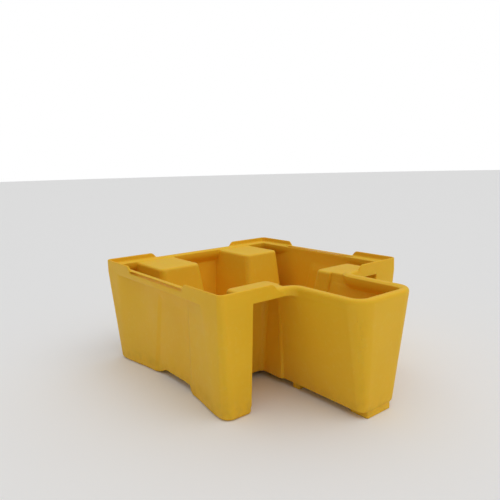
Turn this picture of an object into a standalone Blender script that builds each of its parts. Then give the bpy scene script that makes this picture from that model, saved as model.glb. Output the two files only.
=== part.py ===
"""Spill containment pallet for one intermediate bulk container, with a dispensing bay at the front.

The real object is one rotationally moulded polyethylene body. Its shell is modelled whole, as an outer
form less a sump, and is then divided at its natural features into named regions that nearly touch.
Frame: +Z up, the bay towards -Y, the origin on the ground at the middle of the whole outline.
"""
import math

import bmesh
import bpy

# Driving dimensions, in metres.
WIDTH = 1.470
TUB_LENGTH = 1.480
BAY_REACH = 0.521
BAY_WIDTH = 0.484
RIM_HEIGHT = 0.694
RIM_WIDTH = 0.060
SKIRT_DEPTH = 0.054
WALL = 0.007
CORNER_RADIUS = 0.038
CORNER_RADIUS_AT_GROUND = 0.065
BODY_INSET_AT_GROUND = 0.042

LIP_HEIGHT = 0.032
LIP_THICKNESS = 0.014
LIP_START = 0.350

PLATFORM_HEIGHT = 0.680
UNDERSIDE_HEIGHT = 0.040
CHANNEL_HEIGHT = 0.045
CHANNEL_FRONT_Y = -0.220
CHANNEL_BACK_Y = (0.200, 0.105)
LEG_INNER_X = 0.522

# Side panels, set in behind the skirt, and the deeper recess in the middle of each.
PANEL_HALF_LENGTH = (0.800, 0.500)
PANEL_FLAT_HALF_LENGTH = (0.240, 0.350)
PANEL_INSET_AT_GROUND = 0.095
RECESS_DEPTH = 0.010
RECESS_FRONT_Y = (-0.225, -0.294)
RECESS_BACK_Y = (0.190, 0.010)
RECESS_SLOPE = 0.020
RECESS_TOP = 0.600
RECESS_FULL_DEPTH_TOP = 0.530
RECESS_TOOL_DEPTH = 0.020

# Fork alcoves under the four platforms: inner and outer x, and how far in they run, at ground and at top.
ALCOVE_OUTER_X = (0.520, 0.517)
ALCOVE_INNER_X = (0.155, 0.218)
FRONT_ALCOVE_END_Y = (-0.325, -0.477)
BACK_ALCOVE_END_Y = (0.190, 0.308)
ALCOVE_RADIUS = 0.035
BESIDE_BAY_X = 0.300

# The bay's walls lean in towards the ground.
BAY_SIDE_LEAN = 0.106
BAY_FRONT_LEAN = 0.080
BAY_RADIUS = 0.115
BAY_RADIUS_AT_GROUND = 0.050
BAY_BACK_Y = (-0.525, -0.615)
BAY_ROOT = 0.016
BAY_HOLLOW_RADIUS = 0.085
BAY_RIM_INNER_RADIUS = 0.050
JUNCTION_RADIUS = 0.060
JUNCTION_SINK = 0.010

SUMP_RADIUS = 0.030
POCKET_TOP = 0.645
POCKET_FULL_TOP = 0.600
POCKET_TOP_INSET = 0.066

FRONT_FOOT_HALF_WIDTH = 0.098
FRONT_FOOT_LENGTH = 0.130
REAR_FOOT_X = 0.092
REAR_FOOT_Y = -0.625
REAR_FOOT_SIZE = 0.060

# Where the shell is divided into its named regions, and the gap left between two of them.
SPLIT_X = 0.125
FRONT_SPLIT_Y = -0.312
BACK_SPLIT_Y = 0.170
SEAM = 0.0003

# How far cutting and joining solids run past what they cut, and into each other.
ABOVE = 0.300
BELOW = -0.200
BEYOND = 1.500
TOUCH = 0.001

ARC_STEPS = 5
PANEL_STEPS = 6

HALF_WIDTH = WIDTH / 2
HALF_TUB = TUB_LENGTH / 2
SKIRT_BOTTOM = RIM_HEIGHT - SKIRT_DEPTH
BAY_FRONT_Y = -HALF_TUB - BAY_REACH
BAY_HALF = BAY_WIDTH / 2
ALCOVE_TOP = PLATFORM_HEIGHT - WALL
TUB_CENTRE_Y = BAY_REACH / 2

YELLOW = (0.80, 0.47, 0.03, 1.0)
ROUGHNESS = 0.42


def lerp(pair, t):
    return pair[0] + (pair[1] - pair[0]) * t


def clear_scene():
    for obj in list(bpy.data.objects):
        bpy.data.objects.remove(obj, do_unlink=True)


def rounded_ring(x0, x1, y0, y1, z, radii):
    """Points of a rectangle at height z. radii are for its corners, from (x0, y0) anticlockwise."""
    corners = ((x0, y0, 180), (x1, y0, 270), (x1, y1, 0), (x0, y1, 90))
    points = []
    for (x, y, start), radius in zip(corners, radii):
        cx = x + radius if x == x0 else x - radius
        cy = y + radius if y == y0 else y - radius
        for step in range(ARC_STEPS + 1):
            angle = math.radians(start + 90 * step / ARC_STEPS)
            points.append((cx + radius * math.cos(angle), cy + radius * math.sin(angle), z))
    return points


def loft(name, rings):
    """A closed solid through rings of equal point count, listed from the bottom up."""
    mesh = bmesh.new()
    loops = [[mesh.verts.new(point) for point in ring] for ring in rings]
    for lower, upper in zip(loops, loops[1:]):
        for i, vert in enumerate(lower):
            j = (i + 1) % len(lower)
            mesh.faces.new((vert, lower[j], upper[j], upper[i]))
    mesh.faces.new(reversed(loops[0]))
    mesh.faces.new(loops[-1])
    bmesh.ops.remove_doubles(mesh, verts=mesh.verts, dist=1e-6)
    bmesh.ops.recalc_face_normals(mesh, faces=mesh.faces)
    return linked(name, mesh)


def linked(name, mesh):
    data = bpy.data.meshes.new(name)
    mesh.to_mesh(data)
    mesh.free()
    obj = bpy.data.objects.new(name, data)
    bpy.context.scene.collection.objects.link(obj)
    return obj


def square_ring(x0, x1, y0, y1, z):
    return [(x0, y0, z), (x1, y0, z), (x1, y1, z), (x0, y1, z)]


def block(x0, x1, y0, y1, z0, z1, name="block"):
    return loft(name, [square_ring(x0, x1, y0, y1, z0), square_ring(x0, x1, y0, y1, z1)])


def prism(outline, z0, z1, name="prism"):
    """A closed solid of an anticlockwise outline of (x, y) points."""
    return loft(name, [[(x, y, z0) for x, y in outline], [(x, y, z1) for x, y in outline]])


def apply_boolean(target, tool, operation):
    """Joins, cuts or intersects target with tool, and removes tool."""
    modifier = target.modifiers.new(operation.lower(), "BOOLEAN")
    modifier.operation = operation
    modifier.solver = "EXACT"
    modifier.object = tool
    graph = bpy.context.evaluated_depsgraph_get()
    result = bpy.data.meshes.new_from_object(target.evaluated_get(graph))
    target.modifiers.clear()
    target.data = result
    bpy.data.objects.remove(tool, do_unlink=True)
    return target


def join(target, *tools):
    for tool in tools:
        apply_boolean(target, tool, "UNION")
    return target


def cut(target, *tools):
    for tool in tools:
        apply_boolean(target, tool, "DIFFERENCE")
    return target


def both_sides(make, *args):
    """The solid made for the left side and for the right side."""
    return [make(side, *args) for side in (-1, 1)]


def sided(side, near, far):
    """The x range from near to far on a side, in ascending order."""
    return tuple(sorted((side * near, side * far)))


# ---- the outer form -------------------------------------------------------------------------------

def tub_block():
    low_x = HALF_WIDTH - BODY_INSET_AT_GROUND
    low_y = HALF_TUB - BODY_INSET_AT_GROUND
    radii = [CORNER_RADIUS] * 4
    low_radii = [CORNER_RADIUS_AT_GROUND] * 4
    return loft("tub", [
        rounded_ring(-low_x, low_x, -low_y, low_y, 0.0, low_radii),
        rounded_ring(-HALF_WIDTH, HALF_WIDTH, -HALF_TUB, HALF_TUB, SKIRT_BOTTOM, radii),
        rounded_ring(-HALF_WIDTH, HALF_WIDTH, -HALF_TUB, HALF_TUB, RIM_HEIGHT, radii),
    ])


def panel_cutter(side, grow):
    """Cuts a side panel back behind the skirt. grow moves its faces outwards by the wall's thickness."""
    top = RIM_HEIGHT - WALL + grow
    heights = [BELOW] + [top * step / PANEL_STEPS for step in range(PANEL_STEPS + 1)]
    rings = []
    for z in heights:
        t = max(z, 0.0) / top
        inset = lerp((PANEL_INSET_AT_GROUND, RIM_WIDTH - WALL), t) + grow
        mouth = lerp(PANEL_HALF_LENGTH, t) + grow
        floor = lerp(PANEL_FLAT_HALF_LENGTH, t) + grow
        near, far = side * (HALF_WIDTH - inset), side * (HALF_WIDTH - WALL)
        ring = [(far, -mouth, z), (near, -floor, z), (near, floor, z), (far, mouth, z)]
        rings.append(ring if side < 0 else ring[::-1])
    return loft("panel", rings)


def panel_opening(side):
    """Opens the space behind the skirt to the side, below the skirt's edge."""
    x0, x1 = sided(side, HALF_WIDTH - WALL - TOUCH, BEYOND)
    rings = []
    for z in (BELOW, 0.0, SKIRT_BOTTOM):
        half = lerp(PANEL_HALF_LENGTH, max(z, 0.0) / (RIM_HEIGHT - WALL)) - TOUCH
        rings.append(square_ring(x0, x1, -half, half, z))
    return loft("panel_opening", rings)


def recess_cutter(side, grow):
    """The deeper recess in the middle of a side panel, with leaning ends and a leaning top."""
    rings = []
    levels = ((BELOW, 1.0), (0.0, 1.0), (RECESS_FULL_DEPTH_TOP + grow, 1.0), (RECESS_TOP + grow, 0.0))
    for z, share in levels:
        height = max(z, 0.0) / RIM_HEIGHT
        panel = PANEL_INSET_AT_GROUND + (RIM_WIDTH - WALL - PANEL_INSET_AT_GROUND) * height
        depth = panel + RECESS_DEPTH * share + grow
        y0 = lerp(RECESS_FRONT_Y, max(z, 0.0) / RECESS_TOP) - grow
        y1 = lerp(RECESS_BACK_Y, max(z, 0.0) / RECESS_TOP) + grow
        slope = RECESS_SLOPE
        near, far = side * (HALF_WIDTH - depth), side * (HALF_WIDTH - panel + RECESS_TOOL_DEPTH)
        ring = [(far, y0 - slope, z), (near, y0, z), (near, y1, z), (far, y1 + slope, z)]
        rings.append(ring if side < 0 else ring[::-1])
    return loft("recess", rings)


def alcove_rings(side, ends_y, grow, front, top):
    """Rings of an alcove's space. ends_y gives where it stops; front is -1 or 1 for the end it opens at."""
    rings = []
    for z in (BELOW, 0.0, top):
        t = max(z, 0.0) / PLATFORM_HEIGHT
        outer = lerp(ALCOVE_OUTER_X, t) + grow
        inner = lerp(ALCOVE_INNER_X, t) - grow
        x0, x1 = sided(side, inner, outer)
        stop = lerp(ends_y, t) - front * grow
        mouth = front * (HALF_TUB - WALL)
        y0, y1 = sorted((mouth, stop))
        radius = ALCOVE_RADIUS + grow
        radii = [0, 0, radius, radius] if front < 0 else [radius, radius, 0, 0]
        rings.append(rounded_ring(x0, x1, y0, y1, z, radii))
    return rings


def alcove_cutter(side, ends_y, front):
    return loft("alcove", alcove_rings(side, ends_y, 0.0, front, ALCOVE_TOP))


def alcove_mouth(side, front):
    """Opens an alcove to the front or the back, below the skirt's edge."""
    rings = []
    for z in (BELOW, 0.0, SKIRT_BOTTOM):
        t = max(z, 0.0) / PLATFORM_HEIGHT
        x0, x1 = sided(side, lerp(ALCOVE_INNER_X, t), lerp(ALCOVE_OUTER_X, t))
        y0, y1 = sorted((front * (HALF_TUB - WALL - TOUCH), front * BEYOND))
        rings.append(square_ring(x0, x1, y0, y1, z))
    return loft("mouth", rings)


def pedestal_block(side, ends_y, front):
    """An alcove's space grown by the wall's thickness: what the sump has to leave standing."""
    return loft("pedestal", alcove_rings(side, ends_y, WALL, front, PLATFORM_HEIGHT))


def bay_half(z):
    return BAY_HALF - BAY_SIDE_LEAN * (1.0 - z / RIM_HEIGHT)


def bay_front(z):
    return BAY_FRONT_Y + BAY_FRONT_LEAN * (1.0 - z / RIM_HEIGHT)


def bay_back(z):
    return lerp(BAY_BACK_Y, z / RIM_HEIGHT)


def bay_block():
    rings = []
    for z in (UNDERSIDE_HEIGHT, RIM_HEIGHT):
        half = bay_half(z)
        radius = lerp((BAY_RADIUS_AT_GROUND, BAY_RADIUS), z / RIM_HEIGHT)
        back = bay_back(z) + BAY_ROOT
        rings.append(rounded_ring(-half, half, bay_front(z), back, z, [radius, radius, 0, 0]))
    return loft("bay", rings)


def beside_bay(side, inset, grow):
    """The space beside the bay's root, in front of the alcove, up to the skirt's edge."""
    rings = []
    for z in (BELOW, 0.0, SKIRT_BOTTOM + grow):
        height = max(z, 0.0)
        x0, x1 = sided(side, bay_half(height) - inset, BESIDE_BAY_X)
        rings.append(square_ring(x0, x1, -BEYOND, bay_back(height) + grow, z))
    return loft("beside_bay", rings)


def bay_cavity():
    """The hollow of the bay, narrow at its rim and following the outer walls lower down."""
    rings = []
    for z in (UNDERSIDE_HEIGHT + WALL, POCKET_FULL_TOP, POCKET_TOP, RIM_HEIGHT + ABOVE):
        height = min(z, RIM_HEIGHT)
        low = z <= POCKET_FULL_TOP
        half = bay_half(height) - WALL if low else BAY_HALF - RIM_WIDTH
        front = bay_front(height) + WALL if low else BAY_FRONT_Y + RIM_WIDTH
        back = bay_back(height) + BAY_ROOT - WALL
        radius = BAY_HOLLOW_RADIUS if low else BAY_RIM_INNER_RADIUS
        rings.append(rounded_ring(-half, half, front, back, z, [radius, radius, 0, 0]))
    return loft("bay_cavity", rings)


def throat_cavity():
    """The way from the bay into the sump, between the front pedestals."""
    rings = []
    for z in (UNDERSIDE_HEIGHT + WALL, PLATFORM_HEIGHT, RIM_HEIGHT + ABOVE):
        height = min(z, PLATFORM_HEIGHT)
        half = lerp(ALCOVE_INNER_X, height / PLATFORM_HEIGHT) - WALL
        rings.append(square_ring(-half, half, bay_back(height) + WALL, FRONT_ALCOVE_END_Y[0], z))
    return loft("throat", rings)


def junction_outline(side, corner_x, corner_y, radius):
    """A concave fillet between the tub's front edge and the bay's side, as an outline to fill."""
    outline = [(side * corner_x, corner_y)]
    for step in range(ARC_STEPS + 1):
        angle = math.radians(90 * step / ARC_STEPS)
        x = corner_x + radius * (1 - math.sin(angle))
        y = corner_y - radius * (1 - math.cos(angle))
        outline.append((side * x, y))
    return outline if side > 0 else outline[::-1]


def outer_junction(side):
    sink = JUNCTION_SINK
    outline = junction_outline(side, BAY_HALF - sink, -HALF_TUB + sink, JUNCTION_RADIUS + sink)
    return prism(outline, SKIRT_BOTTOM, RIM_HEIGHT)


def inner_junction(side):
    """Rounds the rim's inner corner between the tub and the bay, down to the platform's level."""
    radius = JUNCTION_RADIUS + RIM_WIDTH
    x = BAY_HALF - RIM_WIDTH
    y = -HALF_TUB + RIM_WIDTH
    sink = JUNCTION_SINK
    outline = [(side * (x - sink), y + sink), (side * (x - sink), y - radius)]
    for step in range(ARC_STEPS + 1):
        angle = math.radians(90 * step / ARC_STEPS)
        px = x + radius * (1 - math.cos(angle))
        py = y - radius * (1 - math.sin(angle))
        outline.append((side * px, py))
    outline.append((side * (x + radius), y + sink))
    return prism(outline, PLATFORM_HEIGHT, RIM_HEIGHT + ABOVE)


def lip():
    """The raised lip on the rim's outer edge, round each of the four corners."""
    radii = [CORNER_RADIUS] * 4
    inner = [CORNER_RADIUS - LIP_THICKNESS] * 4
    top = RIM_HEIGHT + LIP_HEIGHT
    base = RIM_HEIGHT - TOUCH
    x, y = HALF_WIDTH, HALF_TUB
    ring = loft("lip", [rounded_ring(-x, x, -y, y, z, radii) for z in (base, top)])
    x, y = x - LIP_THICKNESS, y - LIP_THICKNESS
    cut(ring, loft("hole", [rounded_ring(-x, x, -y, y, z, inner) for z in (base - TOUCH, top + TOUCH)]))
    cut(ring, block(-BEYOND, BEYOND, -LIP_START, LIP_START, 0.0, BEYOND))
    cut(ring, block(-LIP_START, LIP_START, -BEYOND, BEYOND, 0.0, BEYOND))
    return ring


def channel_cutter():
    """The low passage under the tub from side to side, with a ramp at its back."""
    rings = []
    for z, back in ((BELOW, 0), (0.0, 0), (CHANNEL_HEIGHT, 1)):
        rings.append(square_ring(-BEYOND, BEYOND, CHANNEL_FRONT_Y, CHANNEL_BACK_Y[back], z))
    return loft("channel", rings)


def foot(x0, x1, y0, y1):
    return block(x0, x1, y0, y1, 0.0, UNDERSIDE_HEIGHT + WALL / 2)


def outer_form():
    form = tub_block()
    cut(form, *both_sides(panel_cutter, 0.0))
    cut(form, *both_sides(panel_opening))
    cut(form, *both_sides(recess_cutter, 0.0))
    for ends_y, front in ((FRONT_ALCOVE_END_Y, -1), (BACK_ALCOVE_END_Y, 1)):
        cut(form, *both_sides(alcove_cutter, ends_y, front))
        cut(form, *both_sides(alcove_mouth, front))
    cut(form, block(-LEG_INNER_X, LEG_INNER_X, -BEYOND, BEYOND, BELOW, UNDERSIDE_HEIGHT))
    cut(form, channel_cutter())
    cut(form, *both_sides(beside_bay, JUNCTION_SINK, 0.0))
    join(form, bay_block())
    join(form, *both_sides(outer_junction))
    join(form, lip())
    front = BAY_FRONT_Y + BAY_FRONT_LEAN
    join(form, foot(-FRONT_FOOT_HALF_WIDTH, FRONT_FOOT_HALF_WIDTH, front, front + FRONT_FOOT_LENGTH))
    half = REAR_FOOT_SIZE / 2
    for side in (-1, 1):
        x = side * REAR_FOOT_X
        join(form, foot(x - half, x + half, REAR_FOOT_Y - half, REAR_FOOT_Y + half))
    return form


# ---- the sump -------------------------------------------------------------------------------------

def sump():
    """The hollow that holds a spill, as a solid to take out of the outer form."""
    radii = [SUMP_RADIUS] * 4
    x, y = HALF_WIDTH - RIM_WIDTH, HALF_TUB - RIM_WIDTH
    lean = PANEL_INSET_AT_GROUND - RIM_WIDTH + WALL
    hollow = loft("sump", [
        rounded_ring(-x + lean, x - lean, -y + lean, y - lean, WALL, radii),
        rounded_ring(-x, x, -y, y, RIM_HEIGHT, radii),
        rounded_ring(-x, x, -y, y, RIM_HEIGHT + ABOVE, radii),
    ])
    join(hollow, corner_pockets())
    cut(hollow, *both_sides(recess_cutter, WALL))
    for ends_y, front in ((FRONT_ALCOVE_END_Y, -1), (BACK_ALCOVE_END_Y, 1)):
        cut(hollow, *both_sides(pedestal_block, ends_y, front))
    cut(hollow, *both_sides(beside_bay, WALL, WALL))
    inner_x = LEG_INNER_X + WALL
    channel_y = CHANNEL_FRONT_Y - WALL, CHANNEL_BACK_Y[0] + WALL
    cut(hollow, block(-inner_x, inner_x, -BEYOND, BEYOND, BELOW, UNDERSIDE_HEIGHT + WALL))
    cut(hollow, block(-BEYOND, BEYOND, *channel_y, BELOW, CHANNEL_HEIGHT + WALL))
    join(hollow, throat_cavity(), bay_cavity())
    join(hollow, *both_sides(inner_junction))
    return hollow


def corner_pockets():
    """The hollows of the corner columns, which stand out to the skirt's face."""
    rings = []
    for z in (WALL, POCKET_FULL_TOP, POCKET_TOP):
        lean = BODY_INSET_AT_GROUND * (1 - z / SKIRT_BOTTOM)
        inset = lean + WALL if z < POCKET_TOP else POCKET_TOP_INSET
        outer_radius = lerp((CORNER_RADIUS_AT_GROUND, CORNER_RADIUS), z / SKIRT_BOTTOM)
        radii = [outer_radius - WALL] * 4
        x, y = HALF_WIDTH - inset, HALF_TUB - inset
        rings.append(rounded_ring(-x, x, -y, y, z, radii))
    pockets = loft("pockets", rings)
    cut(pockets, *both_sides(panel_cutter, WALL))
    reach = ALCOVE_OUTER_X[0] + WALL
    cut(pockets, block(-reach, reach, -BEYOND, BEYOND, BELOW, BEYOND))
    return pockets


# ---- the named regions ----------------------------------------------------------------------------

def polyethylene(name):
    material = bpy.data.materials.new(name + "_polyethylene")
    material.use_nodes = True
    surface = material.node_tree.nodes["Principled BSDF"]
    surface.inputs["Base Color"].default_value = YELLOW
    surface.inputs["Roughness"].default_value = ROUGHNESS
    surface.inputs["Metallic"].default_value = 0.0
    return material


def region(shell, name, x0, x1, y0, y1):
    """The part of the shell inside a plan rectangle, as a solid of its own, half a seam inside it."""
    data = shell.data.copy()
    data.name = name
    piece = bpy.data.objects.new(name, data)
    bpy.context.scene.collection.objects.link(piece)
    gap = SEAM / 2
    apply_boolean(piece, block(x0 + gap, x1 - gap, y0 + gap, y1 - gap, BELOW, BEYOND), "INTERSECT")
    piece.data.name = name
    piece.data.materials.clear()
    piece.data.materials.append(polyethylene(name))
    return piece


def sided_regions(shell, side, word):
    """A side's two corners and the wall between them."""
    spans = (
        ("front_" + word + "_corner", SPLIT_X, -HALF_TUB, FRONT_SPLIT_Y),
        ("back_" + word + "_corner", SPLIT_X, BACK_SPLIT_Y, BEYOND),
        (word + "_side_wall", LEG_INNER_X, FRONT_SPLIT_Y, BACK_SPLIT_Y),
    )
    return [region(shell, name, *sided(side, x, BEYOND), y0, y1) for name, x, y0, y1 in spans]


def middle_regions(shell):
    spans = (
        ("dispensing_bay", BEYOND, -BEYOND, -HALF_TUB),
        ("throat_floor", SPLIT_X, -HALF_TUB, FRONT_SPLIT_Y),
        ("sump_floor", LEG_INNER_X, FRONT_SPLIT_Y, BACK_SPLIT_Y),
        ("back_wall", SPLIT_X, BACK_SPLIT_Y, BEYOND),
    )
    return [region(shell, name, -x, x, y0, y1) for name, x, y0, y1 in spans]


def build():
    clear_scene()
    shell = outer_form()
    cut(shell, sump())
    pieces = middle_regions(shell)
    pieces += sided_regions(shell, -1, "left")
    pieces += sided_regions(shell, 1, "right")
    bpy.data.objects.remove(shell, do_unlink=True)
    tub_centre = bpy.data.objects.new("tub_centre", None)
    bpy.context.scene.collection.objects.link(tub_centre)
    tub_centre.location = (0.0, TUB_CENTRE_Y, 0.0)
    for piece in pieces:
        piece.parent = tub_centre


build()
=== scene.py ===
"""Looks of the spill containment pallet: one rotationally moulded shell in yellow polyethylene.

The shell is described by a signed distance, in metres, that is negative inside the plastic. Its zero
surface is meshed on a fine grid, thinned where it is flat, and shaded with the distance's own gradient.
In the functions below x is measured from the middle plane, y from the tub's centre and z from the ground.
A pair of values is at the ground and at the top, unless it says otherwise.
"""
import math

import bpy
import numpy as np
from mathutils import Matrix, Vector


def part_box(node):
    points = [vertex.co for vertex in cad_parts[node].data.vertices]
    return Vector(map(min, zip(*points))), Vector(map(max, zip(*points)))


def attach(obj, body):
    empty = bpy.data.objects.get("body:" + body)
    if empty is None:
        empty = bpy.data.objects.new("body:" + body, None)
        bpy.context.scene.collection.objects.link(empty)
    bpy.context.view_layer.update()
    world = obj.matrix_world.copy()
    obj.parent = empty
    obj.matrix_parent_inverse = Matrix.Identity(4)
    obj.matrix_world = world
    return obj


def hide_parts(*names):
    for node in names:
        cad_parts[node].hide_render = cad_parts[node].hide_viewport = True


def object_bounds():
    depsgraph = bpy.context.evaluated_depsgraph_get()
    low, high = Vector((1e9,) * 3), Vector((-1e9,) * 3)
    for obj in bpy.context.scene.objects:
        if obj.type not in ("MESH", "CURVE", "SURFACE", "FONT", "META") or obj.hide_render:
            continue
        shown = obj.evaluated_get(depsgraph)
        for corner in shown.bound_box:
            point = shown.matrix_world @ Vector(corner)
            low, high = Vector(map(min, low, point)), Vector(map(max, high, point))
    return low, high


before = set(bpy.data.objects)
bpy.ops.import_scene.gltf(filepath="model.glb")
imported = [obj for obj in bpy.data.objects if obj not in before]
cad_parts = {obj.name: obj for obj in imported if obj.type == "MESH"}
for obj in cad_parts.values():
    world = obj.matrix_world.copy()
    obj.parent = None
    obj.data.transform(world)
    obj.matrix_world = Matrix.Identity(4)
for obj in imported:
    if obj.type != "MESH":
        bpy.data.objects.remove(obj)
CAD_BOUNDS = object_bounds()

# ---- sizes, in metres ------------------------------------------------------------------------------

LOW, HIGH = (tuple(corner) for corner in CAD_BOUNDS)
BAY_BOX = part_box("dispensing_bay")
HALF_WIDTH = HIGH[0]
TUB_FRONT_Y = BAY_BOX[1][1]
TUB_CENTRE_Y = (TUB_FRONT_Y + HIGH[1]) / 2
HALF_TUB = HIGH[1] - TUB_CENTRE_Y
BAY_REACH = TUB_CENTRE_Y - LOW[1]
BAY_HALF = 0.242
RIM = BAY_BOX[1][2]
LIP_HEIGHT = HIGH[2] - RIM
RIM_WIDTH = 0.060
SKIRT_BOTTOM = RIM - 0.054
WALL = 0.007

CORNER_RADIUS = (0.065, 0.038)
BODY_INSET_AT_GROUND = 0.042
LIP_THICKNESS = 0.014
LIP_ENDS = (0.325, 0.385)
PLATFORM = 0.680
UNDERSIDE = 0.040
CHANNEL_TOP = 0.045
CHANNEL_FRONT_Y = -0.220
CHANNEL_BACK_Y = (0.200, 0.105)
LEG_INNER_X = 0.522

PANEL_TOP = RIM - WALL
PANEL_MOUTH = (0.800, 0.500)
PANEL_FLOOR = (0.240, 0.350)
PANEL_INSET = (0.095, 0.053)
RECESS_DEPTH = 0.010
RECESS_FRONT_Y = (-0.225, -0.294)
RECESS_BACK_Y = (0.190, 0.010)
RECESS_SLOPE = 0.050
RECESS_TOP = (0.520, 0.610)

ALCOVE_OUTER = (0.520, 0.517)
ALCOVE_INNER = (0.155, 0.218)
FRONT_ALCOVE_END = (0.325, 0.477)
BACK_ALCOVE_END = (0.190, 0.308)
ALCOVE_RADIUS = 0.035
ALCOVE_TOP = PLATFORM - WALL

BAY_SIDE_LEAN = 0.106
BAY_FRONT_LEAN = 0.080
BAY_RADIUS = (0.050, 0.115)
BAY_BACK_Y = (-0.525, -0.615)
BAY_ROOT = 0.016
BESIDE_BAY_X = 0.300
BESIDE_BAY_SINK = 0.030
SUMP_RADIUS = 0.030
BAY_RIM_INNER_RADIUS = 0.050
RIM_FILLET = 0.060
LOW_FILLET = 0.016
RIM_FILLET_HEIGHTS = (0.590, 0.640)
RIM_INNER_DEPTH = 0.052

FRONT_FOOT = (0.098, 0.130)
REAR_FOOT_X = 0.092
REAR_FOOT_Y = -0.625
REAR_FOOT_HALF = 0.030

# Rounding of the edges: the width over which two surfaces blend.
THIN_BLEND = 0.0065
LIP_ROOT_BLEND = 0.0064
TOP_BLEND = 0.030
LIP_BLEND = 0.008
SOLE_BLEND = 0.022
UNDER_BLEND = 0.012
FOOT_BLEND = 0.004
PANEL_BLEND = 0.026
SHOULDER_BLEND = 0.020

WAVE_HEIGHT = 0.0004

# Meshing: the grid's cell, how many cells make a block, and the triangles kept in each half.
CELL = 0.0048
BLOCK = 4
BLOCK_REACH = 1.4
MARGIN_CELLS = 3
HALF_TRIANGLES = 52000
POINT_REACH = 0.0004
LONGEST_MOVE = 0.0025
LEAST_STEEPNESS = 0.25
NORMAL_REACH = 0.0008
EDGE_REACH = 0.003
TIGHT_EDGE = 120.0


# ---- distances -------------------------------------------------------------------------------------

def lerp(pair, t):
    return pair[0] + (pair[1] - pair[0]) * t


def rising(value, start, end):
    """0 before start, 1 after end, smooth between."""
    t = np.clip((value - start) / (end - start), 0.0, 1.0)
    return t * t * (3.0 - 2.0 * t)


def blend_max(a, b, width):
    """Both at once, as an intersection with a soft edge."""
    return np.maximum(a, b) + np.maximum(width - np.abs(a - b), 0.0) ** 2 / (4.0 * width)


def blend_min(a, b, width):
    """Either one, as a union with a soft crease."""
    return np.minimum(a, b) - np.maximum(width - np.abs(a - b), 0.0) ** 2 / (4.0 * width)


def round_cut(a, b, radius):
    """An intersection of two surfaces that meet squarely, with an edge of this radius."""
    outside = np.hypot(np.maximum(radius + a, 0.0), np.maximum(radius + b, 0.0))
    return np.minimum(-radius, np.maximum(a, b)) + outside


def round_join(a, b, radius):
    """A union of two surfaces that meet squarely, with a fillet of this radius."""
    inside = np.hypot(np.maximum(radius - a, 0.0), np.maximum(radius - b, 0.0))
    return np.maximum(radius, np.minimum(a, b)) - inside


def leaning(across, z, at_ground, at_top, top):
    """Distance past a wall that leans from at_ground to at_top over the height top."""
    slope = (at_top - at_ground) / top
    return (across - at_ground - slope * z) / math.hypot(1.0, slope)


def moulding_waves(x, y, z):
    """The faint unevenness of a large moulding as it cools, always inwards."""
    swell = np.sin(9.0 * y + 2.0 * np.sin(5.0 * z) + 3.0 * x) * np.sin(11.0 * x + 7.0 * z + 1.0)
    ripple = np.sin(23.0 * y + 8.0 * z) * np.sin(19.0 * z - 6.0 * y + 0.5) * np.cos(17.0 * x)
    return WAVE_HEIGHT * (1.0 + 0.6 * swell + 0.4 * ripple)


def tub(x, y, z):
    side = leaning(x, z, HALF_WIDTH - BODY_INSET_AT_GROUND, HALF_WIDTH, SKIRT_BOTTOM)
    end = leaning(np.abs(y), z, HALF_TUB - BODY_INSET_AT_GROUND, HALF_TUB, SKIRT_BOTTOM)
    side = np.maximum(side, x - HALF_WIDTH)
    end = np.maximum(end, np.abs(y) - HALF_TUB)
    radius = lerp(CORNER_RADIUS, np.clip(z / SKIRT_BOTTOM, 0.0, 1.0))
    return round_cut(side, end, radius)


def bay(x, y, z):
    side = leaning(x, z, BAY_HALF - BAY_SIDE_LEAN, BAY_HALF, RIM)
    front = leaning(-y, z, BAY_REACH - BAY_FRONT_LEAN, BAY_REACH, RIM)
    radius = lerp(BAY_RADIUS, np.clip(z / RIM, 0.0, 1.0))
    back = lerp(BAY_BACK_Y, np.clip(z / RIM, 0.0, 1.0)) + BAY_ROOT
    return np.maximum(round_cut(side, front, radius), y - back)


def beside_bay(x, y, z):
    """The space beside the bay's root, in front of the alcove, up to the skirt's edge."""
    up = np.clip(z / RIM, 0.0, 1.0)
    inner = BAY_HALF - BAY_SIDE_LEAN * (1.0 - up) - BESIDE_BAY_SINK
    plan = np.maximum(np.maximum(inner - x, x - BESIDE_BAY_X), y - lerp(BAY_BACK_Y, up))
    return np.maximum(plan, z - SKIRT_BOTTOM)


def side_panel_space(x, y, z):
    """The space in front of a side panel, up behind the skirt."""
    t = np.clip(z / PANEL_TOP, 0.0, 1.0)
    far = HALF_WIDTH - WALL
    flat = HALF_WIDTH - lerp(PANEL_INSET, t)
    slope = (far - flat) / (lerp(PANEL_MOUTH, t) - lerp(PANEL_FLOOR, t))
    oblique = flat + (np.abs(y) - lerp(PANEL_FLOOR, t)) * slope
    panel = blend_min(x - flat, (x - oblique) / np.hypot(1.0, slope), PANEL_BLEND)
    up = np.clip(z / RECESS_TOP[1], 0.0, 1.0)
    past_end = np.maximum(y - lerp(RECESS_BACK_Y, up), lerp(RECESS_FRONT_Y, up) - y)
    in_recess = (1.0 - rising(past_end, 0.0, RECESS_SLOPE)) * (1.0 - rising(z, *RECESS_TOP))
    panel = panel + RECESS_DEPTH * in_recess
    under_skirt = blend_min(x - far, z - SKIRT_BOTTOM, THIN_BLEND)
    return np.maximum(np.maximum(-panel, under_skirt), z - PANEL_TOP)


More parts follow.
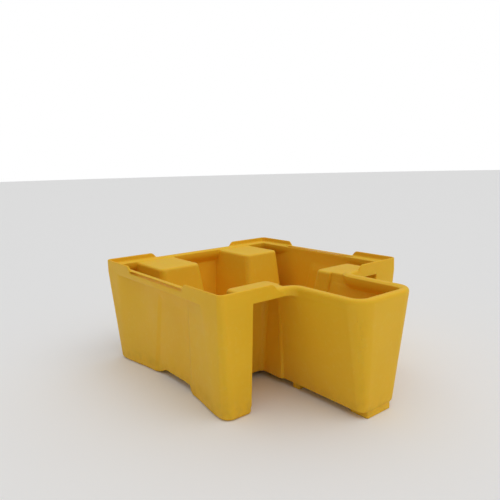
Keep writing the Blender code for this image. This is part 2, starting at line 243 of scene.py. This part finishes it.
def alcove_space(x, towards_mouth, z, end):
    """The hollow under a pedestal, open to the ground and, below the skirt, to the front or back."""
    t = np.clip(z / PLATFORM, 0.0, 1.0)
    across = np.maximum(lerp(ALCOVE_INNER, t) - x, x - lerp(ALCOVE_OUTER, t))
    along = leaning(-towards_mouth, z, -end[0], -end[1], PLATFORM)
    plan = round_cut(across, along, ALCOVE_RADIUS)
    under_platform = blend_max(plan, z - ALCOVE_TOP, SHOULDER_BLEND)
    under_skirt = blend_min(towards_mouth - HALF_TUB + WALL, z - SKIRT_BOTTOM, THIN_BLEND)
    return np.maximum(under_platform, under_skirt)


def rim_top(x, y, z, plan):
    """The rim's flat top with the lip raised on it round the corners, and how much lip there is."""
    share = rising(np.minimum(x, np.abs(y)), *LIP_ENDS)
    lip = blend_max(z - RIM - LIP_HEIGHT * share, -LIP_THICKNESS - plan, LIP_BLEND)
    return blend_min(z - RIM, lip, LIP_ROOT_BLEND), share


def rim_inside(x, y, z):
    """The space inside the rim, straight down at first and opening out below it."""
    tub_edge = round_cut(x - HALF_WIDTH + RIM_WIDTH, np.abs(y) - HALF_TUB + RIM_WIDTH, SUMP_RADIUS)
    bay_edge = round_cut(x - BAY_HALF + RIM_WIDTH, -y - BAY_REACH + RIM_WIDTH, BAY_RIM_INNER_RADIUS)
    bay_edge = np.maximum(bay_edge, y)
    edge = round_join(tub_edge, bay_edge, RIM_FILLET + RIM_WIDTH)
    flare = (edge + z - RIM + RIM_INNER_DEPTH) / math.sqrt(2.0)
    return blend_min(edge, flare, SHOULDER_BLEND)


def foot(x, y, z, half_x, centre_x, centre_y, half_y):
    plan = blend_max(np.abs(x - centre_x) - half_x, np.abs(y - centre_y) - half_y, UNDER_BLEND)
    height = np.maximum(z - UNDERSIDE - WALL / 2, -z)
    return blend_max(plan, height, FOOT_BLEND)


def shell(points):
    """Signed distance to the whole shell at points given in the part's frame."""
    x = np.abs(points[:, 0])
    y = points[:, 1] - TUB_CENTRE_Y
    z = points[:, 2]
    tub_form = tub(x, y, z)
    bay_form = bay(x, y, z)
    fillet = LOW_FILLET + (RIM_FILLET - LOW_FILLET) * rising(z, *RIM_FILLET_HEIGHTS)
    beside = beside_bay(x, y, z)
    form = round_join(np.maximum(tub_form, -beside), bay_form, fillet) + moulding_waves(x, y, z)

    alcoves = np.minimum(
        alcove_space(x, -y, z, FRONT_ALCOVE_END),
        alcove_space(x, y, z, BACK_ALCOVE_END),
    )
    alcoves = blend_max(alcoves, -bay_form, UNDER_BLEND)
    spaces = np.minimum(side_panel_space(x, y, z), alcoves)
    ramp = leaning(y, z, *CHANNEL_BACK_Y, CHANNEL_TOP)
    under = np.minimum(
        blend_max(z - UNDERSIDE, x - LEG_INNER_X, UNDER_BLEND),
        blend_max(z - CHANNEL_TOP, np.maximum(CHANNEL_FRONT_Y - y, ramp), UNDER_BLEND),
    )

    def hollowed_below(body):
        body = blend_max(body, -spaces, THIN_BLEND)
        body = blend_max(body, -under, UNDER_BLEND)
        return blend_max(body, -z, SOLE_BLEND)

    top, lip_share = rim_top(x, y, z, tub_form)
    top_blend = TOP_BLEND + (LIP_BLEND - TOP_BLEND) * lip_share
    outer = hollowed_below(blend_max(form, top, top_blend))
    wall = hollowed_below(form)
    hollow = blend_max(wall + WALL, rim_inside(x, y, z), THIN_BLEND)
    edge_blend = THIN_BLEND + (TOP_BLEND - THIN_BLEND) * rising(z, PLATFORM, PANEL_TOP + 0.003)
    body = blend_max(outer, -hollow, edge_blend)

    half_width, length = FRONT_FOOT
    front_y = -BAY_REACH + BAY_FRONT_LEAN + length / 2
    body = blend_min(body, foot(x, y, z, half_width, 0.0, front_y, length / 2), FOOT_BLEND)
    rear = foot(x, y, z, REAR_FOOT_HALF, REAR_FOOT_X, REAR_FOOT_Y, REAR_FOOT_HALF)
    return blend_min(body, rear, FOOT_BLEND)


# ---- meshing ---------------------------------------------------------------------------------------

def in_chunks(points, size=400000):
    """The shell's distance at many points, a batch at a time."""
    return np.concatenate([shell(points[i:i + size]) for i in range(0, len(points), size)])


def grid_places(axes):
    """Every combination of the three axes' steps, one to a row."""
    return np.stack(np.meshgrid(*axes, indexing="ij"), axis=-1).reshape(-1, 3)


def sampled_grid():
    """The distance on a grid of the right half, exact near the surface and only its sign elsewhere."""
    margin = MARGIN_CELLS * CELL
    low = np.array([-CELL / 2, LOW[1] - margin, LOW[2] - margin])
    high = np.array(HIGH) + margin
    blocks = np.ceil((high - low) / (CELL * BLOCK)).astype(int)
    corners = grid_places([np.arange(n) for n in blocks])
    middle = low + (corners * BLOCK + (BLOCK - 1) / 2) * CELL
    coarse = in_chunks(middle)
    near = np.abs(coarse) < BLOCK * CELL * BLOCK_REACH
    values = np.repeat(np.repeat(np.repeat(coarse.reshape(blocks), BLOCK, 0), BLOCK, 1), BLOCK, 2)
    steps = grid_places([np.arange(BLOCK)] * 3)
    index = (corners[near][:, None, :] * BLOCK + steps[None, :, :]).reshape(-1, 3)
    values[index[:, 0], index[:, 1], index[:, 2]] = in_chunks(low + index * CELL)
    return low, values


def net_surface(low, values):
    """Points and quads of the zero surface: one point in each cell that the surface crosses."""
    shape = np.array(values.shape)
    stride = np.array([shape[1] * shape[2], shape[2], 1])
    count = int(np.prod(shape))
    total = np.zeros((count, 3))
    hits = np.zeros(count)
    quads = []
    solid = values < 0.0
    for axis in range(3):
        first = np.take(solid, range(shape[axis] - 1), axis=axis)
        second = np.take(solid, range(1, shape[axis]), axis=axis)
        crossed = np.argwhere(first != second)
        crossed = crossed[crossed[:, 0] > 0]
        step = np.zeros(3, int)
        step[axis] = 1
        a = values[tuple(crossed.T)]
        b = values[tuple((crossed + step).T)]
        place = crossed + (a / (a - b))[:, None] * step
        u, v = [other for other in range(3) if other != axis]
        corner = crossed @ stride
        around = [corner - stride[u] - stride[v], corner - stride[v], corner, corner - stride[u]]
        for cell in around:
            hits += np.bincount(cell, minlength=count)
            for k in range(3):
                total[:, k] += np.bincount(cell, weights=place[:, k], minlength=count)
        ring = np.stack(around, axis=1)
        turned = (a < 0.0) == (axis == 1)
        ring[turned] = ring[turned][:, ::-1]
        quads.append(ring)
    quads = np.concatenate(quads)
    used = np.flatnonzero(hits)
    number = np.full(count, -1)
    number[used] = np.arange(len(used))
    points = low + total[used] / hits[used][:, None] * CELL
    return points, number[quads]


def gradient(points, reach):
    """Which way the distance grows at each point, measured over a short reach on either side."""
    slopes = np.zeros_like(points)
    for axis in range(3):
        step = np.zeros(3)
        step[axis] = reach
        slopes[:, axis] = (in_chunks(points + step) - in_chunks(points - step)) / (2.0 * reach)
    return slopes


def pulled_to_surface(points, rounds):
    """The points moved along the gradient on to the surface, a short way each round."""
    for _ in range(rounds):
        slopes = gradient(points, POINT_REACH)
        steepness = np.maximum(np.sum(slopes ** 2, axis=1), LEAST_STEEPNESS)
        move = np.clip(in_chunks(points) / steepness, -LONGEST_MOVE, LONGEST_MOVE)
        points = points - slopes * move[:, None]
    return points


def mesh_object(name, points, faces):
    data = bpy.data.meshes.new(name)
    data.vertices.add(len(points))
    data.vertices.foreach_set("co", points.ravel())
    sides = faces.shape[1]
    data.loops.add(faces.size)
    data.loops.foreach_set("vertex_index", faces.ravel())
    data.polygons.add(len(faces))
    data.polygons.foreach_set("loop_start", np.arange(len(faces)) * sides)
    data.update(calc_edges=True)
    obj = bpy.data.objects.new(name, data)
    bpy.context.scene.collection.objects.link(obj)
    return obj


def thinned(obj, triangles):
    """The object's points and triangles after flat areas have been thinned out."""
    modifier = obj.modifiers.new("thin", "DECIMATE")
    modifier.ratio = triangles / (2 * len(obj.data.polygons))
    modifier.use_collapse_triangulate = True
    graph = bpy.context.evaluated_depsgraph_get()
    data = bpy.data.meshes.new_from_object(obj.evaluated_get(graph))
    points = np.zeros(len(data.vertices) * 3)
    data.vertices.foreach_get("co", points)
    faces = np.zeros(len(data.polygons) * 3, int)
    data.polygons.foreach_get("vertices", faces)
    bpy.data.objects.remove(obj, do_unlink=True)
    return points.reshape(-1, 3), faces.reshape(-1, 3)


def open_edge_points(faces):
    """The points on edges that only one triangle has, which is where the half is cut."""
    edges = np.sort(np.concatenate([faces[:, [0, 1]], faces[:, [1, 2]], faces[:, [2, 0]]]), axis=1)
    pairs, counts = np.unique(edges, axis=0, return_counts=True)
    return np.unique(pairs[counts == 1])


def mirrored(points, faces, seam):
    """Both halves as one closed mesh, sharing the points on the middle plane."""
    count = len(points)
    twin = np.arange(count) + count
    twin[seam] = seam
    other = twin[faces][:, ::-1]
    points = np.concatenate([points, points * (-1.0, 1.0, 1.0)])
    faces = np.concatenate([faces, other])
    used = np.unique(faces)
    number = np.full(2 * count, -1)
    number[used] = np.arange(len(used))
    return points[used], number[faces]


def convexity(points):
    """How sharply the surface turns outwards at each point: 0 where flat or hollow, 1 on a tight edge."""
    total = -6.0 * in_chunks(points)
    for axis in range(3):
        step = np.zeros(3)
        step[axis] = EDGE_REACH
        total = total + in_chunks(points + step) + in_chunks(points - step)
    return np.clip(total / EDGE_REACH ** 2 / TIGHT_EDGE, 0.0, 1.0)


def moulded_shell():
    """The whole pallet as one closed mesh, from its right half and that half's mirror image."""
    low, values = sampled_grid()
    points, quads = net_surface(low, values)
    points = pulled_to_surface(points, 1)
    rough = mesh_object("rough", points, quads)
    points, faces = thinned(rough, HALF_TRIANGLES)
    seam = open_edge_points(faces)
    points[seam, 0] = 0.0
    points = pulled_to_surface(points, 2)
    points[seam, 0] = 0.0
    points, faces = mirrored(points, faces, seam)
    obj = mesh_object("moulded_shell", points, faces)
    obj.data.polygons.foreach_set("use_smooth", np.ones(len(faces), bool))
    normals = gradient(points, NORMAL_REACH)
    normals /= np.linalg.norm(normals, axis=1)[:, None]
    obj.data.normals_split_custom_set_from_vertices(normals)
    attribute = obj.data.attributes.new("convexity", "FLOAT", "POINT")
    attribute.data.foreach_set("value", convexity(points))
    return obj


# ---- material --------------------------------------------------------------------------------------

YELLOWS = (0.865, 0.500, 0.020, 1.0), (0.900, 0.530, 0.024, 1.0)
GRAIN_YELLOW = (0.77, 0.46, 0.014, 1.0)
RUBBED_YELLOW = (0.93, 0.66, 0.12, 1.0)
SCUFFED_YELLOW = (0.88, 0.58, 0.06, 1.0)
DUST_BROWN = (0.30, 0.20, 0.09, 1.0)


class Shading:
    """A material's nodes, made one small step at a time in the object's own coordinates."""

    def __init__(self, name):
        self.material = bpy.data.materials.new(name)
        self.material.use_nodes = True
        self.nodes = self.material.node_tree.nodes
        self.links = self.material.node_tree.links
        self.surface = self.nodes["Principled BSDF"]
        self.place = self.nodes.new("ShaderNodeTexCoord").outputs["Object"]

    def feed(self, socket, value):
        """Sets a socket to a plain value, or links another node's output to it."""
        if isinstance(value, (float, tuple)):
            socket.default_value = value
        else:
            self.links.new(value, socket)

    def noise(self, scale, detail, roughness=0.5, stretch=(1.0, 1.0, 1.0)):
        mapping = self.nodes.new("ShaderNodeMapping")
        mapping.inputs["Scale"].default_value = stretch
        self.links.new(self.place, mapping.inputs["Vector"])
        node = self.nodes.new("ShaderNodeTexNoise")
        node.inputs["Scale"].default_value = scale
        node.inputs["Detail"].default_value = detail
        node.inputs["Roughness"].default_value = roughness
        self.links.new(mapping.outputs["Vector"], node.inputs["Vector"])
        return node.outputs["Fac"]

    def between(self, value, start, end, low=0.0, high=1.0):
        """Low up to start, high from end on, smooth between."""
        node = self.nodes.new("ShaderNodeMapRange")
        node.interpolation_type = "SMOOTHSTEP"
        self.links.new(value, node.inputs["Value"])
        for name, number in zip(("From Min", "From Max", "To Min", "To Max"), (start, end, low, high)):
            node.inputs[name].default_value = number
        return node.outputs["Result"]

    def calculate(self, operation, first, second):
        node = self.nodes.new("ShaderNodeMath")
        node.operation = operation
        for socket, value in zip(node.inputs, (first, second)):
            self.feed(socket, value)
        return node.outputs["Value"]

    def times(self, first, second):
        return self.calculate("MULTIPLY", first, second)

    def tinted(self, colour, other, share):
        """The colour, mixed with a share of another."""
        node = self.nodes.new("ShaderNodeMix")
        node.data_type = "RGBA"
        self.links.new(share, node.inputs["Factor"])
        for name, value in (("A", colour), ("B", other)):
            matching = [item for item in node.inputs if item.name == name and item.type == "RGBA"]
            self.feed(matching[0], value)
        return [item for item in node.outputs if item.type == "RGBA"][0]

    def bumped(self, height, distance, strength, below=None):
        node = self.nodes.new("ShaderNodeBump")
        node.inputs["Distance"].default_value = distance
        node.inputs["Strength"].default_value = strength
        self.links.new(height, node.inputs["Height"])
        if below:
            self.links.new(below, node.inputs["Normal"])
        return node.outputs["Normal"]

    def height(self):
        split = self.nodes.new("ShaderNodeSeparateXYZ")
        self.links.new(self.place, split.inputs["Vector"])
        return split.outputs["Z"]

    def point_value(self, name):
        attribute = self.nodes.new("ShaderNodeAttribute")
        attribute.attribute_name = name
        return attribute.outputs["Fac"]


def rubbed_edges(shading):
    patches = shading.between(shading.noise(34.0, 5.0, 0.65), 0.50, 0.72)
    return shading.times(patches, shading.between(shading.point_value("convexity"), 0.25, 0.9))


def scuffs(shading):
    """Short level streaks, gathered in a few places."""
    streaks = shading.between(shading.noise(1.0, 4.0, 0.6, (9.0, 9.0, 90.0)), 0.62, 0.74)
    return shading.times(streaks, shading.between(shading.noise(5.0, 2.0), 0.52, 0.66))


def dust_near_ground(shading):
    low_down = shading.between(shading.height(), 0.015, 0.16, 1.0, 0.0)
    return shading.times(low_down, shading.between(shading.noise(16.0, 5.0, 0.6), 0.38, 0.7))


def polyethylene():
    """Yellow moulded plastic: soft colour clouds, fine grain, rubbed edges, and dust near the ground."""
    shading = Shading("yellow_polyethylene")
    surface = shading.surface
    rubbed = rubbed_edges(shading)
    scuff = scuffs(shading)
    dust = dust_near_ground(shading)

    cloud = shading.between(shading.noise(2.2, 3.0), 0.3, 0.7)
    grain = shading.between(shading.noise(420.0, 2.0), 0.35, 0.65)
    colour = shading.tinted(*YELLOWS, cloud)
    colour = shading.tinted(colour, GRAIN_YELLOW, shading.times(grain, 0.10))
    colour = shading.tinted(colour, RUBBED_YELLOW, shading.times(rubbed, 0.16))
    colour = shading.tinted(colour, SCUFFED_YELLOW, shading.times(scuff, 0.04))
    colour = shading.tinted(colour, DUST_BROWN, shading.times(dust, 0.20))
    shading.feed(surface.inputs["Base Color"], colour)

    rough = shading.between(shading.noise(7.0, 4.0, 0.6), 0.25, 0.75, 0.46, 0.54)
    rough = shading.calculate("ADD", rough, shading.times(scuff, 0.05))
    rough = shading.calculate("ADD", rough, shading.times(dust, 0.22))
    shading.feed(surface.inputs["Roughness"], rough)

    peel = shading.bumped(shading.noise(190.0, 3.0), 0.0005, 0.06)
    peel = shading.bumped(shading.noise(34.0, 2.0), 0.0015, 0.05, peel)
    shading.feed(surface.inputs["Normal"], peel)

    surface.inputs["IOR"].default_value = 1.50
    surface.inputs["Specular IOR Level"].default_value = 0.22
    surface.inputs["Subsurface Weight"].default_value = 0.20
    surface.inputs["Subsurface Radius"].default_value = (1.0, 0.30, 0.05)
    surface.inputs["Subsurface Scale"].default_value = 0.020
    return shading.material


# ---- studio ----------------------------------------------------------------------------------------

FLOOR_RADIUS = 60.0
FLOOR_SIDES = 96
FLOOR_GAP = 0.0005
FLOOR_GREY = (0.90, 0.90, 0.90, 1.0)
FLOOR_ROUGHNESS = 0.9

# Each sun: the direction it stands in, how wide it looks in degrees, and its strength.
OVERHEAD_SUN = (0.22, 0.05, 1.0), 100.0, 0.96
KEY_SUN = (0.10, -0.60, 0.80), 60.0, 0.60
SURROUND_SEEN = 1.0
SURROUND_LIGHT = 0.36

CAMERA_PLACE = (-2.1345, -2.6311, 1.3965)
CAMERA_YAW = 0.70626
CAMERA_PITCH = -0.131987
CAMERA_ROLL = -0.0229194
CAMERA_LENS = 36.851
CAMERA_SHIFT = (-0.0653, -0.0393)


def floor_material():
    material = bpy.data.materials.new("pale_floor")
    material.use_nodes = True
    surface = material.node_tree.nodes["Principled BSDF"]
    surface.inputs["Base Color"].default_value = FLOOR_GREY
    surface.inputs["Roughness"].default_value = FLOOR_ROUGHNESS
    return material


def floor():
    """A wide pale disc, a hair below the soles."""
    data = bpy.data.meshes.new("floor")
    turn = [2.0 * math.pi * i / FLOOR_SIDES for i in range(FLOOR_SIDES)]
    rim = [(FLOOR_RADIUS * math.cos(a), FLOOR_RADIUS * math.sin(a), 0.0) for a in turn]
    data.from_pydata(rim, [], [tuple(range(FLOOR_SIDES))])
    obj = bpy.data.objects.new("floor", data)
    obj.location.z = LOW[2] - FLOOR_GAP
    data.materials.append(floor_material())
    bpy.context.scene.collection.objects.link(obj)
    return obj


def soft_sun(name, towards, angle, strength):
    data = bpy.data.lights.new(name, "SUN")
    data.angle = math.radians(angle)
    data.energy = strength
    obj = bpy.data.objects.new(name, data)
    obj.rotation_euler = Vector(towards).to_track_quat("Z", "Y").to_euler()
    bpy.context.scene.collection.objects.link(obj)


def surround():
    """A white surround, dimmer as a light than it looks."""
    sky = bpy.data.worlds.new("studio")
    sky.use_nodes = True
    nodes, links = sky.node_tree.nodes, sky.node_tree.links
    background = nodes["Background"]
    background.inputs["Color"].default_value = (1.0, 1.0, 1.0, 1.0)
    path = nodes.new("ShaderNodeLightPath")
    strength = nodes.new("ShaderNodeMapRange")
    links.new(path.outputs["Is Camera Ray"], strength.inputs["Value"])
    strength.inputs["To Min"].default_value = SURROUND_LIGHT
    strength.inputs["To Max"].default_value = SURROUND_SEEN
    links.new(strength.outputs["Result"], background.inputs["Strength"])
    bpy.context.scene.world = sky


def camera():
    """The camera, turned by its yaw, then its pitch, then its roll. All three are in radians."""
    data = bpy.data.cameras.new("camera")
    data.lens = CAMERA_LENS
    data.shift_x, data.shift_y = CAMERA_SHIFT
    flat = math.cos(CAMERA_PITCH)
    forward = Vector((math.sin(CAMERA_YAW) * flat, math.cos(CAMERA_YAW) * flat, math.sin(CAMERA_PITCH)))
    right = Vector((math.cos(CAMERA_YAW), -math.sin(CAMERA_YAW), 0.0))
    up = right.cross(forward)
    turned_right = math.cos(CAMERA_ROLL) * right + math.sin(CAMERA_ROLL) * up
    turned_up = math.cos(CAMERA_ROLL) * up - math.sin(CAMERA_ROLL) * right
    facing = Matrix((turned_right, turned_up, -forward)).transposed()
    obj = bpy.data.objects.new("camera", data)
    obj.matrix_world = Matrix.Translation(CAMERA_PLACE) @ facing.to_4x4()
    bpy.context.scene.collection.objects.link(obj)
    bpy.context.scene.camera = obj


def studio():
    soft_sun("overhead", *OVERHEAD_SUN)
    soft_sun("key", *KEY_SUN)
    surround()
    floor()
    camera()
    bpy.context.scene.view_settings.view_transform = "Standard"


# ---- the piece -------------------------------------------------------------------------------------

pallet = moulded_shell()
pallet.data.materials.append(polyethylene())
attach(pallet, "root")
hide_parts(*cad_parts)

studio()
